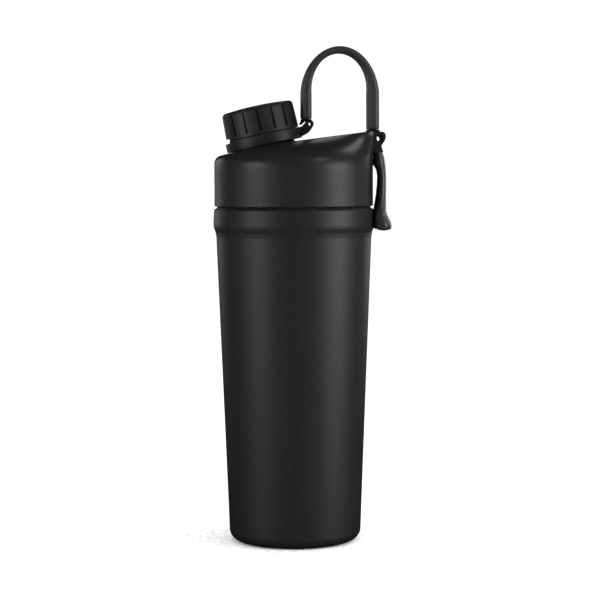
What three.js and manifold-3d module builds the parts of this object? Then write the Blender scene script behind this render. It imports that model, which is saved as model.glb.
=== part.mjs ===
// Insulated steel shaker bottle: tapered double-wall body, screw lid with a leaning spout and screw
// cap, a carry strap between the cap's collar and the lid's horn, and a swinging clip at the rear.
// Millimetres, +Z up. The origin is the centre of the base and the spout leans toward -X.

import * as THREE from 'three';
import { mergeVertices } from 'three/addons/utils/BufferGeometryUtils.js';
import Module from 'manifold-3d';

const wasm = await Module();
wasm.setup();

// ---- Driving dimensions ---------------------------------------------------------------------

const CLEARANCE = 0.3; // between pieces that move or rest on one another
const PRESS_FIT = 0.05; // between a pin and the hole that holds it
const CUTTER_REACH = 20; // half length of a cross drilling, past both sides of every piece
const SEGMENTS = 40; // around the body and the lid
const FINE_SEGMENTS = 32; // around the spout, the cap and the collar

const BODY = {
  baseRadius: 37,
  baseCorner: 6,
  shoulderRadius: 43.4,
  shoulderHeight: 170.6,
  bandRadius: 45,
  bandTopRadius: 44.6,
  bandBottom: 177.3,
  height: 186.2,
  bandCorner: 0.9,
  lipRise: 1.1,
  lipOuter: 42.6,
  wall: 0.6,
  footRing: 31,
  lip: 40.4,
};

const LINER = {
  floor: 8,
  floorRadius: 33,
  corner: 6,
  wall: 0.6,
  neckInner: 38.7,
  neckRadius: 39.4,
  neckBottom: 168,
  flangeRadius: 40.7,
  rim: BODY.height + 13,
};

const LID = {
  bottom: BODY.height + 1.4,
  radius: 44.3,
  skirtInner: 42.3,
  shoulder: 209,
  shoulderSlope: -0.045,
  wall: 2.4,
  insertRadius: 42,
  insertInner: 41,
  ceiling: BODY.height + 16.6,
};

const LID_THREAD = { pitch: 5, depth: 1.2, root: 2, crest: 1 };

const SPOUT = {
  tilt: THREE.MathUtils.degToRad(11.9),
  x: -15.95,
  z: 221.45,
  bore: 13.2,
  neck: 15.2,
  neckTop: 18,
};

const CAP_THREAD = { pitch: 3.5, depth: 1.2, root: 1.5, crest: 0.7 };

const COLLAR = { radius: 21.4, height: 6, bore: 18.7, groove: 19.6, notchWidth: 10, notchHeight: 1.1 };

const CAP = {
  radius: 20.5,
  topRadius: 20,
  bottom: COLLAR.height + CLEARANCE,
  shoulder: 20,
  rim: 21.5,
  crown: 22.5,
  ceiling: 20.1,
  inner: 16.8,
  sleeve: 18.4,
  bead: 19.2,
  notchHeight: 1.2,
  grooves: 16,
  firstGroove: -2.5,
  grooveWidth: 1.7,
  grooveDepth: 0.9,
  grooveEnd: 8,
};

const DECK = {
  seat: SPOUT.z - 0.55,
  seatSlope: Math.tan(SPOUT.tilt),
  middle: 223.46,
  hornSlope: 0.129,
  top: 228.75,
  roundCentre: -15.5,
  roundRadius: 23,
  hornEnd: 46.8,
  hornHalfWidth: 10.5,
  taperPower: 2,
  hornCorner: 3,
};

const REAR_PIN = { x: 47.3, z: 224.9, radius: 2, bore: 1.6, halfLength: 10.4 };
const FRONT_PIN = { x: 26.81, z: 6.29, radius: 1.2, bore: 0.85, halfLength: 6.2 };

const HORN = { slot: 8.4, slotFront: 40.2, slotFloor: 219.4, earOuter: 10.6 };

const STRAP = {
  frontX: 7.07,
  rearX: 44.3,
  frontFoot: 236.1,
  rearFoot: 230.2,
  spring: 250.35,
  rise: 23.9,
  frontThickness: 6.2,
  rearThickness: 7,
  topThickness: 3.8,
  legHalfWidth: 8,
  topHalfWidth: 10.5,
};

const CLIP = {
  lug: 3.4,
  lugInner: 5.6,
  lugOuter: 8.1,
  armHalfWidth: 8.6,
  footHalfWidth: 15,
  archTop: 211,
  webRadius: 44.65,
  webTopRadius: 45.1,
  hollowRadius: 45.4,
  lugCutDepth: 3.9,
};

// ---- Shape helpers --------------------------------------------------------------------------

// Merged, outward-facing copy of a closed geometry, holding only positions.
function closed(geometry) {
  const bare = geometry.clone();
  bare.deleteAttribute('normal');
  bare.deleteAttribute('uv');
  const merged = mergeVertices(bare, 1e-4);
  const position = merged.attributes.position;
  const corners = merged.index.array;
  const a = new THREE.Vector3();
  const b = new THREE.Vector3();
  const c = new THREE.Vector3();
  const kept = [];
  let volume = 0;
  for (let i = 0; i < corners.length; i += 3) {
    const [p, q, r] = [corners[i], corners[i + 1], corners[i + 2]];
    if (p === q || q === r || r === p) continue;
    kept.push(p, q, r);
    a.fromBufferAttribute(position, p);
    b.fromBufferAttribute(position, q);
    c.fromBufferAttribute(position, r);
    volume += a.dot(b.cross(c));
  }
  merged.setIndex(volume < 0 ? kept.reverse() : kept);
  return merged;
}

function solidOf(geometry) {
  const mesh = closed(geometry);
  return new wasm.Manifold(
    new wasm.Mesh({
      numProp: 3,
      vertProperties: new Float32Array(mesh.attributes.position.array),
      triVerts: new Uint32Array(mesh.index.array),
    }),
  );
}

function geometryOf(solid) {
  const mesh = solid.getMesh();
  const geometry = new THREE.BufferGeometry();
  geometry.setAttribute('position', new THREE.BufferAttribute(mesh.vertProperties, 3));
  geometry.setIndex(new THREE.BufferAttribute(mesh.triVerts, 1));
  geometry.computeVertexNormals();
  return geometry;
}

// Turned solid about Z from [radius, height] points.
function turned(points, segments = SEGMENTS) {
  const profile = points.map(([r, z]) => new THREE.Vector2(r, z));
  return new THREE.LatheGeometry(profile, segments).rotateX(Math.PI / 2);
}

// Turned ring whose profile closes on itself.
function turnedRing(points, segments = SEGMENTS) {
  return turned([...points, points[0]], segments);
}

// Points of an arc, from one angle to another in degrees.
function arc(centreR, centreZ, radius, from, to, steps) {
  const points = [];
  for (let i = 0; i <= steps; i += 1) {
    const angle = THREE.MathUtils.degToRad(from + ((to - from) * i) / steps);
    points.push([centreR + radius * Math.cos(angle), centreZ + radius * Math.sin(angle)]);
  }
  return points;
}

function cylinderZ(radius, from, to, segments = SEGMENTS) {
  return turned([[0, from], [radius, from], [radius, to], [0, to]], segments);
}

// Cylinder along Y, centred on y = 0.
function cylinderY(radius, halfLength, x, z, segments = 16) {
  return new THREE.CylinderGeometry(radius, radius, 2 * halfLength, segments).translate(x, 0, z);
}

function box(x0, x1, y0, y1, z0, z1) {
  const size = new THREE.BoxGeometry(x1 - x0, y1 - y0, z1 - z0);
  return size.translate((x0 + x1) / 2, (y0 + y1) / 2, (z0 + z1) / 2);
}

// Outline in the XZ plane, made solid from y0 to y1.
function sidePlate(points, y0, y1) {
  const shape = new THREE.Shape(points.map(([x, z]) => new THREE.Vector2(x, z)));
  const plate = new THREE.ExtrudeGeometry(shape, { depth: y1 - y0, bevelEnabled: false });
  return plate.rotateX(Math.PI / 2).translate(0, y1, 0);
}

// Straight extrusion of a section, each of its points then placed by a function of the section's
// own coordinates and the share of the length that it lies at.
function sweep(section, steps, place) {
  const geometry = new THREE.ExtrudeGeometry(section, { depth: 1, steps, bevelEnabled: false });
  const position = geometry.attributes.position;
  for (let i = 0; i < position.count; i += 1) {
    const point = place(position.getX(i), position.getY(i), position.getZ(i));
    position.setXYZ(i, point[0], point[1], point[2]);
  }
  return geometry;
}

// Right-handed helical ridge on a wall. It is rooted a little inside the wall, stands out to one
// side of it, and runs out at both ends. outward is 1 on an outside wall and -1 inside a bore.
function threadRidge({ wall, outward, thread, from, turns, start = 0 }) {
  const rooted = -0.4;
  const section = new THREE.Shape([
    new THREE.Vector2(rooted, -thread.root / 2),
    new THREE.Vector2(0, -thread.root / 2),
    new THREE.Vector2(thread.depth, -thread.crest / 2),
    new THREE.Vector2(thread.depth, thread.crest / 2),
    new THREE.Vector2(0, thread.root / 2),
    new THREE.Vector2(rooted, thread.root / 2),
  ]);
  const runOut = 0.12 / turns;
  return sweep(section, Math.round(24 * turns), (out, up, share) => {
    const grown = Math.min(1, 0.15 + share / runOut, 0.15 + (1 - share) / runOut);
    const reach = out > 0 ? out * grown : out;
    const turn = share * turns;
    const angle = start + turn * 2 * Math.PI;
    const radius = wall + outward * reach;
    return [radius * Math.cos(angle), radius * Math.sin(angle), from + up + thread.pitch * turn];
  });
}

// Moves a geometry from the spout's own frame, where +Z runs up the spout, to the bottle's frame.
function atSpout(geometry) {
  return geometry.rotateY(-SPOUT.tilt).translate(SPOUT.x, 0, SPOUT.z);
}

function pointAtSpout(x, z) {
  const along = [Math.cos(SPOUT.tilt), Math.sin(SPOUT.tilt)];
  return [SPOUT.x + x * along[0] - z * along[1], SPOUT.z + x * along[1] + z * along[0]];
}

// ---- Materials ------------------------------------------------------------------------------

const POWDER_COAT = { color: 0x1b1b1d, roughness: 0.55, metalness: 0.1 };
const BARE_STEEL = { color: 0xb8b8b6, roughness: 0.32, metalness: 1 };
const LID_PLASTIC = { color: 0x141416, roughness: 0.35, metalness: 0 };
const CAP_PLASTIC = { color: 0x18181a, roughness: 0.5, metalness: 0 };
const STRAP_RUBBER = { color: 0x1f1f21, roughness: 0.6, metalness: 0 };
const SILICONE = { color: 0x6f7276, roughness: 0.7, metalness: 0 };
const PIN_STEEL = { color: 0x2a2a2c, roughness: 0.35, metalness: 1 };

function piece(name, geometry, look) {
  const mesh = new THREE.Mesh(geometry, new THREE.MeshStandardMaterial(look));
  mesh.name = name;
  return mesh;
}

// ---- Body -----------------------------------------------------------------------------------

// Tapered outer wall: foot ring, rounded base corner, straight taper, the rim band that swells out
// again, and an inner lip that stands up behind the seam under the lid.
function outerShell() {
  const { baseRadius, baseCorner, shoulderRadius, shoulderHeight, bandRadius, wall, lip } = BODY;
  const { bandTopRadius, bandCorner, bandBottom, lipOuter, height: top } = BODY;
  const lipTop = top + BODY.lipRise;
  const cornerRadius = bandTopRadius - bandCorner;
  const outside = [
    [BODY.footRing, 0],
    ...arc(baseRadius - baseCorner, baseCorner, baseCorner, -90, 0, 4),
    [shoulderRadius, shoulderHeight],
    [shoulderRadius + 0.4, shoulderHeight + 2.4],
    [bandRadius - 0.3, bandBottom - 1.7],
    [bandRadius, bandBottom],
    ...arc(cornerRadius, top - bandCorner, bandCorner, 0, 90, 2),
    [lipOuter + 0.85, top],
    [lipOuter, lipTop],
    [lip, lipTop],
  ];
  const inside = [
    [lip, lipTop - wall],
    [lipOuter - 0.4, lipTop - wall],
    [lipOuter + 0.2, top - wall],
    [cornerRadius - 0.2, top - wall],
    [bandTopRadius - wall, top - bandCorner],
    [bandRadius - wall, bandBottom],
    [shoulderRadius - wall, shoulderHeight + 1.4],
    [baseRadius - wall, baseCorner],
    [baseRadius - 2.8, 1.9],
    [baseRadius - baseCorner, wall],
    [BODY.footRing, wall],
  ];
  return turnedRing([...outside, ...inside]);
}

// Round plate that closes the bottom inside the foot ring, with a shallow ring groove.
function basePlate() {
  const edge = BODY.footRing - 0.1;
  return turned([
    [0, 0],
    [21, 0],
    [21.6, 0.5],
    [24.4, 0.5],
    [25, 0],
    [edge, 0],
    [edge, BODY.wall],
    [25.6, 1.3],
    [0, 1.3],
  ]);
}

// Inner cup, drawn from one sheet, with the threaded neck that the lid screws on.
function innerLiner() {
  const { floor, floorRadius, corner, wall, neckInner, neckRadius, neckBottom, rim } = LINER;
  const flange = BODY.height + BODY.lipRise + 0.05;
  const inside = [
    [0, floor],
    ...arc(floorRadius - corner, floor + corner, corner, -90, 0, 3),
    [neckInner, neckBottom],
    [neckInner, rim - 0.4],
    [neckInner + 0.3, rim],
  ];
  const outside = [
    [neckRadius - 0.3, rim],
    [neckRadius, rim - 0.4],
    [neckRadius, flange + wall],
    [LINER.flangeRadius, flange + wall],
    [LINER.flangeRadius, flange],
    [neckRadius, flange],
    [neckRadius, neckBottom],
    ...arc(floorRadius - corner, floor + corner, corner + wall, 0, -90, 3),
    [0, floor - wall],
  ];
  const ridge = threadRidge({
    wall: neckRadius,
    outward: 1,
    thread: LID_THREAD,
    from: BODY.height + 3.4,
    turns: 1.4,
  });
  return geometryOf(solidOf(turned([...inside, ...outside])).add(solidOf(ridge)));
}

// Mixing grid: a shallow perforated cup whose flange rests on the liner's rim.
function mixingGrid() {
  const outer = LINER.neckInner - CLEARANCE;
  const inner = outer - 1;
  const floor = LINER.rim - 11;
  const flangeBottom = LINER.rim + 0.05;
  const rim = turnedRing([
    [inner, floor],
    [outer, floor],
    [outer, flangeBottom],
    [LINER.neckRadius - 0.2, flangeBottom],
    [LINER.neckRadius - 0.2, flangeBottom + 0.9],
    [inner, flangeBottom + 0.9],
  ]);
  const plate = new THREE.Shape();
  const plateRadius = inner + 0.5;
  for (let i = 0; i < SEGMENTS; i += 1) {
    const angle = (2 * Math.PI * i) / SEGMENTS;
    const point = [plateRadius * Math.cos(angle), plateRadius * Math.sin(angle)];
    if (i === 0) plate.moveTo(...point);
    else plate.lineTo(...point);
  }
  const rings = [
    { count: 1, ringRadius: 0, holeRadius: 6.5 },
    { count: 8, ringRadius: 15.5, holeRadius: 4.4 },
    { count: 16, ringRadius: 28.6, holeRadius: 4.4 },
  ];
  for (const { count, ringRadius, holeRadius } of rings) {
    for (let i = 0; i < count; i += 1) {
      const angle = (2 * Math.PI * i) / count;
      const hole = new THREE.Path();
      const x = ringRadius * Math.cos(angle);
      const y = ringRadius * Math.sin(angle);
      hole.absarc(x, y, holeRadius, 0, 2 * Math.PI, true);
      plate.holes.push(new THREE.Path(hole.getPoints(4).slice(0, -1)));
    }
  }
  const web = new THREE.ExtrudeGeometry(plate, { depth: 1.6, bevelEnabled: false, curveSegments: 3 });
  return geometryOf(solidOf(rim).add(solidOf(web.translate(0, 0, floor))));
}

// ---- Lid ------------------------------------------------------------------------------------

function lidGasket() {
  const bottom = LINER.rim + 1.1;
  const top = LID.ceiling - 0.05;
  return turnedRing([
    [37.4, bottom + 0.5],
    [37.9, bottom],
    [40.3, bottom],
    [40.8, bottom + 0.5],
    [40.8, top],
    [37.4, top],
  ]);
}

// Threaded inner ring of the lid, with a ledge over the gasket.
function lidInsert() {
  const { insertRadius, insertInner, ceiling } = LID;
  const bottom = LID.bottom + 1;
  const ring = turnedRing([
    [insertInner, bottom],
    [insertRadius, bottom],
    [insertRadius, ceiling + 1.4],
    [34.4, ceiling + 1.4],
    [34.4, ceiling],
    [insertInner, ceiling],
  ]);
  const ridge = threadRidge({
    wall: insertInner,
    outward: -1,
    thread: { ...LID_THREAD, depth: 1 },
    from: BODY.height + 3.4 + LID_THREAD.pitch / 2,
    turns: 1.2,
  });
  return geometryOf(solidOf(ring).add(solidOf(ridge)));
}

// Height of the lid's deck along X: parallel to the collar about the spout, then a gentler slope
// up to the flat end of the horn.
function deckHeight(x) {
  const aboutSpout = DECK.seat + DECK.seatSlope * (x - SPOUT.x);
  return Math.min(aboutSpout, DECK.middle + DECK.hornSlope * x, DECK.top);
}

// Half width of the deck's outline at x: a round end about the spout, tapering to the horn.
function deckHalfWidth(x, inset) {
  const { roundCentre, hornHalfWidth, hornCorner } = DECK;
  const round = DECK.roundRadius - inset;
  const end = DECK.hornEnd - inset * 4;
  if (x <= roundCentre - round || x >= end) return 0;
  if (x < roundCentre) return Math.sqrt(round ** 2 - (x - roundCentre) ** 2);
  const share = (x - roundCentre) / (end - roundCentre);
  const taper = round + (hornHalfWidth - inset - round) * share ** DECK.taperPower;
  const past = Math.max(0, x - (end - hornCorner));
  return taper - hornCorner + Math.sqrt(hornCorner ** 2 - past ** 2);
}

// Distance from the bottle's axis to the deck's outline in one direction.
function deckReach(angle, inset) {
  let near = 0;
  let far = 70;
  for (let i = 0; i < 40; i += 1) {
    const middle = (near + far) / 2;
    const x = middle * Math.cos(angle);
    const y = Math.abs(middle * Math.sin(angle));
    if (y < deckHalfWidth(x, inset)) near = middle;
    else far = middle;
  }
  return near;
}

// Columns of the dome, closer together round the horn than round the spout.
function domeAngle(share) {
  return 2 * Math.PI * share - 0.4 * Math.sin(2 * Math.PI * share);
}

// Dome from the leaning shoulder line up to the sloping deck, as a solid down to z = bottom.
function domeSolid({ radius, bottom, lowered, inset, drop, rings }) {
  const profile = [[0, bottom], [radius, bottom]];
  for (let ring = 0; ring <= rings; ring += 1) {
    profile.push([radius, LID.shoulder + ring]);
  }
  profile.push([0, LID.shoulder + rings + 1]);
  const geometry = turned(profile);
  const position = geometry.attributes.position;
  const columns = position.count / profile.length;
  for (let i = 0; i < position.count; i += 1) {
    const row = i % profile.length;
    const angle = domeAngle(Math.floor(i / profile.length) / (columns - 1));
    const [along, across] = [Math.cos(angle), Math.sin(angle)];
    if (row === 0) continue;
    if (row === profile.length - 1) {
      position.setXYZ(i, 0, 0, deckHeight(0) - drop);
      continue;
    }
    const share = row === 1 ? 0 : ((row - 2) / rings) * (Math.PI / 2);
    const reach = deckReach(angle, inset);
    const foot = LID.shoulder + LID.shoulderSlope * radius * along - lowered;
    const edge = deckHeight(reach * along) - drop;
    const level = radius + (reach - radius) * (1 - Math.cos(share) ** 0.9);
    const height = row === 1 ? bottom : foot + (edge - foot) * Math.sin(share) ** 0.9;
    position.setXYZ(i, level * along, level * across, height);
  }
  return solidOf(geometry);
}

// Side outline of the two ears that hold the rear pin, with the gusset under each.
function earOutline() {
  return [
    [41, 228.6],
    [49.2, 228.6],
    [50.3, 227.7],
    [50.8, 226.2],
    [50.7, 224.7],
    [49.9, 223.2],
    [48.7, 221.9],
    [48.2, 220.9],
    [48.7, 219.4],
    [49.5, 217.4],
    [41, 216.9],
  ];
}

function lidShell() {
  const outside = domeSolid({
    radius: LID.radius,
    bottom: LID.bottom,
    lowered: 0,
    inset: 0,
    drop: 0,
    rings: 5,
  });
  const hollow = domeSolid({
    radius: LID.radius - LID.wall,
    bottom: LID.ceiling + 1.7,
    lowered: 1,
    inset: LID.wall,
    drop: LID.wall,
    rings: 3,
  });
  const neck = turned(
    [
      [0, -4],
      [SPOUT.neck + 2, -4],
      [SPOUT.neck + 2, -0.9],
      [SPOUT.neck + 0.4, 0.6],
      [SPOUT.neck, 1.6],
      [SPOUT.neck, SPOUT.neckTop - 0.6],
      [SPOUT.neck - 0.6, SPOUT.neckTop],
      [0, SPOUT.neckTop],
    ],
    FINE_SEGMENTS,
  );
  const ridge = threadRidge({
    wall: SPOUT.neck,
    outward: 1,
    thread: CAP_THREAD,
    from: SPOUT.neckTop - 6.5,
    turns: 1.1,
  });
  const bore = cylinderZ(SPOUT.bore, -14, SPOUT.neckTop + 2, FINE_SEGMENTS);
  const skirtHollow = cylinderZ(LID.skirtInner, LID.bottom - 1, LID.ceiling + 1.8);
  const { slot, slotFront, slotFloor, earOuter } = HORN;
  const slotCut = box(slotFront, slotFront + 20, -slot, slot, slotFloor, DECK.top + 10);
  const pinHole = cylinderY(REAR_PIN.radius + PRESS_FIT, CUTTER_REACH, REAR_PIN.x, REAR_PIN.z);
  return geometryOf(
    outside
      .add(solidOf(sidePlate(earOutline(), slot, earOuter)))
      .add(solidOf(sidePlate(earOutline(), -earOuter, -slot)))
      .subtract(hollow)
      .add(solidOf(atSpout(neck)))
      .add(solidOf(atSpout(ridge)))
      .subtract(solidOf(skirtHollow))
      .subtract(solidOf(atSpout(bore)))
      .subtract(solidOf(slotCut))
      .subtract(solidOf(pinHole)),
  );
}

// Rolled hollow pin along Y.
function hollowPin({ radius, bore, halfLength }) {
  const pin = turnedRing(
    [[bore, -halfLength], [radius, -halfLength], [radius, halfLength], [bore, halfLength]],
    14,
  );
  return pin.rotateX(Math.PI / 2);
}

// ---- Carry strap ----------------------------------------------------------------------------

// Centre, outward direction, thickness and half width of the strap at a share of its length.
function strapAt(share) {
  const middleX = (STRAP.frontX + STRAP.rearX) / 2;
  const halfSpan = (STRAP.rearX - STRAP.frontX) / 2;
  const frontLeg = STRAP.spring - STRAP.frontFoot;
  const rearLeg = STRAP.spring - STRAP.rearFoot;
  const bend = 62;
  const distance = share * (frontLeg + bend + rearLeg);
  if (distance <= frontLeg) {
    return { x: STRAP.frontX, z: STRAP.frontFoot + distance, out: [-1, 0], swell: 0, rear: 0 };
  }
  if (distance >= frontLeg + bend) {
    const down = distance - frontLeg - bend;
    return { x: STRAP.rearX, z: STRAP.spring - down, out: [1, 0], swell: 0, rear: 1 };
  }
  const turn = ((distance - frontLeg) / bend) * Math.PI;
  const out = new THREE.Vector2(-STRAP.rise * Math.cos(turn), halfSpan * Math.sin(turn)).normalize();
  return {
    x: middleX - halfSpan * Math.cos(turn),
    z: STRAP.spring + STRAP.rise * Math.sin(turn),
    out: [out.x, out.y],
    swell: Math.sin(turn),
    rear: turn / Math.PI,
  };
}

// Strap section, one unit thick and one unit wide each way: a band with rounded edges.
function strapSection() {
  const points = [];
  const sides = 12;
  for (let i = 0; i < sides; i += 1) {
    const angle = (2 * Math.PI * (i + 0.5)) / sides;
    const thick = Math.sign(Math.cos(angle)) * Math.abs(Math.cos(angle)) ** 0.6;
    const wide = Math.sign(Math.sin(angle)) * Math.abs(Math.sin(angle)) ** 0.6;
    points.push(new THREE.Vector2(thick, wide));
  }
  return new THREE.Shape(points);
}

function strapSolid() {
  const band = sweep(strapSection(), 30, (thick, wide, share) => {
    const { x, z, out, swell, rear } = strapAt(share);
    const leg = STRAP.frontThickness + (STRAP.rearThickness - STRAP.frontThickness) * rear;
    const half = (STRAP.topThickness + (leg - STRAP.topThickness) * (1 - swell) ** 1.3) / 2;
    const halfWidth = STRAP.legHalfWidth + (STRAP.topHalfWidth - STRAP.legHalfWidth) * swell;
    return [x + out[0] * thick * half, wide * halfWidth, z + out[1] * thick * half];
  });
  return solidOf(band);
}

const STEM = { halfThickness: 1.5, halfWidth: 2.4, length: 7 };

// Pocket inside each end of the strap that takes a tongue's stem.
function stemPocket(x, foot) {
  const { halfThickness, halfWidth, length } = STEM;
  const t = halfThickness + CLEARANCE;
  const w = halfWidth + CLEARANCE;
  return solidOf(box(x - t, x + t, -w, w, foot - 1, foot + length + CLEARANCE));
}

function carryStrap() {
  return geometryOf(
    strapSolid()
      .subtract(stemPocket(STRAP.frontX, STRAP.frontFoot))
      .subtract(stemPocket(STRAP.rearX, STRAP.rearFoot)),
  );
}

// Stiff tongue: a barrel on the pin, a plate up to the strap's end and a stem inside the strap.
// The outline is the plate's side view, from one top corner round the barrel to the other.
function tongue({ pinX, pinZ, pinRadius, barrel, halfWidth, x, foot, outline }) {
  const { halfThickness, halfWidth: stemHalf, length } = STEM;
  const plate = sidePlate(outline, -halfWidth, halfWidth);
  const stem = box(
    x - halfThickness, x + halfThickness, -stemHalf, stemHalf, foot - 1.3, foot + length,
  );
  return geometryOf(
    solidOf(plate)
      .add(solidOf(cylinderY(barrel, halfWidth, pinX, pinZ)))
      .add(solidOf(stem))
      .subtract(solidOf(cylinderY(pinRadius + CLEARANCE, CUTTER_REACH, pinX, pinZ))),
  );
}

// Its heel reaches down to the left, between the collar's arm and the cap.
function frontTongue() {
  const [pinX, pinZ] = pointAtSpout(FRONT_PIN.x, FRONT_PIN.z);
  const x = STRAP.frontX;
  const top = STRAP.frontFoot - CLEARANCE;
  return tongue({
    pinX,
    pinZ,
    pinRadius: FRONT_PIN.radius,
    barrel: 2.2,
    halfWidth: 2.9,
    x,
    foot: STRAP.frontFoot,
    outline: [
      [x - 2.9, top],
      [x - 3, top - 0.9],
      [x - 3.5, top - 1.8],
      pointAtSpout(21.3, 7.9),
      pointAtSpout(21.4, 7.3),
      pointAtSpout(22.3, 7.5),
      pointAtSpout(23.6, 8.3),
      pointAtSpout(24.6, 8.6),
      [pinX - 1, pinZ - 0.5],
      [pinX + 2, pinZ + 0.5],
      [x + 2.9, top],
    ],
  });
}

function rearTongue() {
  const { x: pinX, z: pinZ, radius } = REAR_PIN;
  const x = STRAP.rearX;
  const top = STRAP.rearFoot - CLEARANCE;
  return tongue({
    pinX,
    pinZ,
    pinRadius: radius,
    barrel: 3.4,
    halfWidth: CLIP.lugInner - CLEARANCE,
    x,
    foot: STRAP.rearFoot,
    outline: [
      [x - 3.4, top],
      [x - 3.4, top - 1],
      [pinX - 2.8, pinZ - 1.9],
      [pinX + 2.9, pinZ + 1.7],
      [x + 3.5, top - 1],
      [x + 3.5, top],
    ],
  });
}

// ---- Spout cap, in the spout's own frame ----------------------------------------------------

// Tether collar under the cap: it snaps over the cap's sleeve and carries the arm of the strap.
function collar() {
  const { radius, height, bore, groove, notchWidth } = COLLAR;
  const ring = turnedRing(
    [
      [bore, 0],
      [radius - 0.8, 0],
      [radius, 0.8],
      [radius, height - 0.4],
      [radius - 0.4, height],
      [bore, height],
      [bore, 3.9],
      [groove, 3.6],
      [groove, 1.9],
      [bore, 1.6],
    ],
    FINE_SEGMENTS,
  );
  const pin = FRONT_PIN;
  const halfWidth = pin.halfLength;
  const arm = sidePlate(
    [
      [radius - 1.6, 0.8],
      [22.3, 0.95],
      [24, 1.4],
      [25.4, 2.1],
      [27.5, 3.9],
      [28.9, 5.6],
      [pin.x - 0.6, pin.z + 2.1],
      [24.4, 7.6],
      [22.8, 6.3],
      [radius - 0.6, height - 0.3],
      [radius - 1.6, height - 0.3],
    ],
    -halfWidth,
    halfWidth,
  );
  const notchFront = 0.1 - bore;
  return geometryOf(
    solidOf(arm)
      .add(solidOf(cylinderY(2.25, halfWidth, pin.x, pin.z)))
      .subtract(solidOf(cylinderZ(radius - 0.7, -4, 20, FINE_SEGMENTS)))
      .add(solidOf(ring))
      .subtract(solidOf(box(radius + 1.9, 40, -3.2, 3.2, -10, 20)))
      .subtract(
        solidOf(box(-30, notchFront, -notchWidth, notchWidth, height - COLLAR.notchHeight, 20)),
      )
      .subtract(solidOf(cylinderY(pin.radius + PRESS_FIT, CUTTER_REACH, pin.x, pin.z))),
  );
}

function capShell() {
  const { radius, topRadius, bottom, shoulder, rim, crown, ceiling, inner, sleeve, bead } = CAP;
  const body = turned(
    [
      [0, ceiling],
      [inner, ceiling],
      [inner, 1.3],
      [sleeve, 1.3],
      [sleeve, 2],
      [bead, 2.4],
      [bead, 3.2],
      [sleeve, 3.6],
      [sleeve, bottom],
      [radius - 0.4, bottom],
      [radius, bottom + 0.4],
      [topRadius, shoulder],
      [topRadius - 0.6, rim - 0.6],
      [topRadius - 2, rim],
      [11, crown - 0.3],
      [0, crown],
    ],
    FINE_SEGMENTS,
  );
  const ridge = threadRidge({
    wall: inner,
    outward: -1,
    thread: { ...CAP_THREAD, depth: 1 },
    from: SPOUT.neckTop - 6.5 - CAP_THREAD.pitch / 2,
    turns: 1.1,
  });
  let cap = solidOf(body).add(solidOf(ridge));
  const half = CAP.grooveWidth / 2;
  const endHeight = CAP.grooveEnd;
  const { notchWidth } = COLLAR;
  const notchBack = 0.1 - COLLAR.bore;
  const notch = box(-30, notchBack, -notchWidth, notchWidth, bottom - 1, bottom + CAP.notchHeight);
  cap = cap.subtract(solidOf(notch));
  for (let i = 0; i < CAP.grooves; i += 1) {
    const outline = new THREE.Shape([
      new THREE.Vector2(-half, rim + 4),
      new THREE.Vector2(-half, endHeight + half),
      new THREE.Vector2(0, endHeight),
      new THREE.Vector2(half, endHeight + half),
      new THREE.Vector2(half, rim + 4),
    ]);
    const cutter = new THREE.ExtrudeGeometry(outline, { depth: 6, bevelEnabled: false });
    cutter.rotateX(Math.PI / 2).rotateZ(Math.PI / 2).translate(topRadius - CAP.grooveDepth, 0, 0);
    cutter.rotateZ((2 * Math.PI * i) / CAP.grooves + THREE.MathUtils.degToRad(CAP.firstGroove));
    cap = cap.subtract(solidOf(cutter));
  }
  return geometryOf(cap);
}

function capLiner() {
  const bottom = SPOUT.neckTop + CLEARANCE;
  return turned(
    [[0, bottom], [15.9, bottom], [16.4, bottom + 0.5], [16.4, CAP.ceiling - 0.3], [0, CAP.ceiling - 0.3]],
    FINE_SEGMENTS,
  );
}

// ---- Rear clip ------------------------------------------------------------------------------

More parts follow.
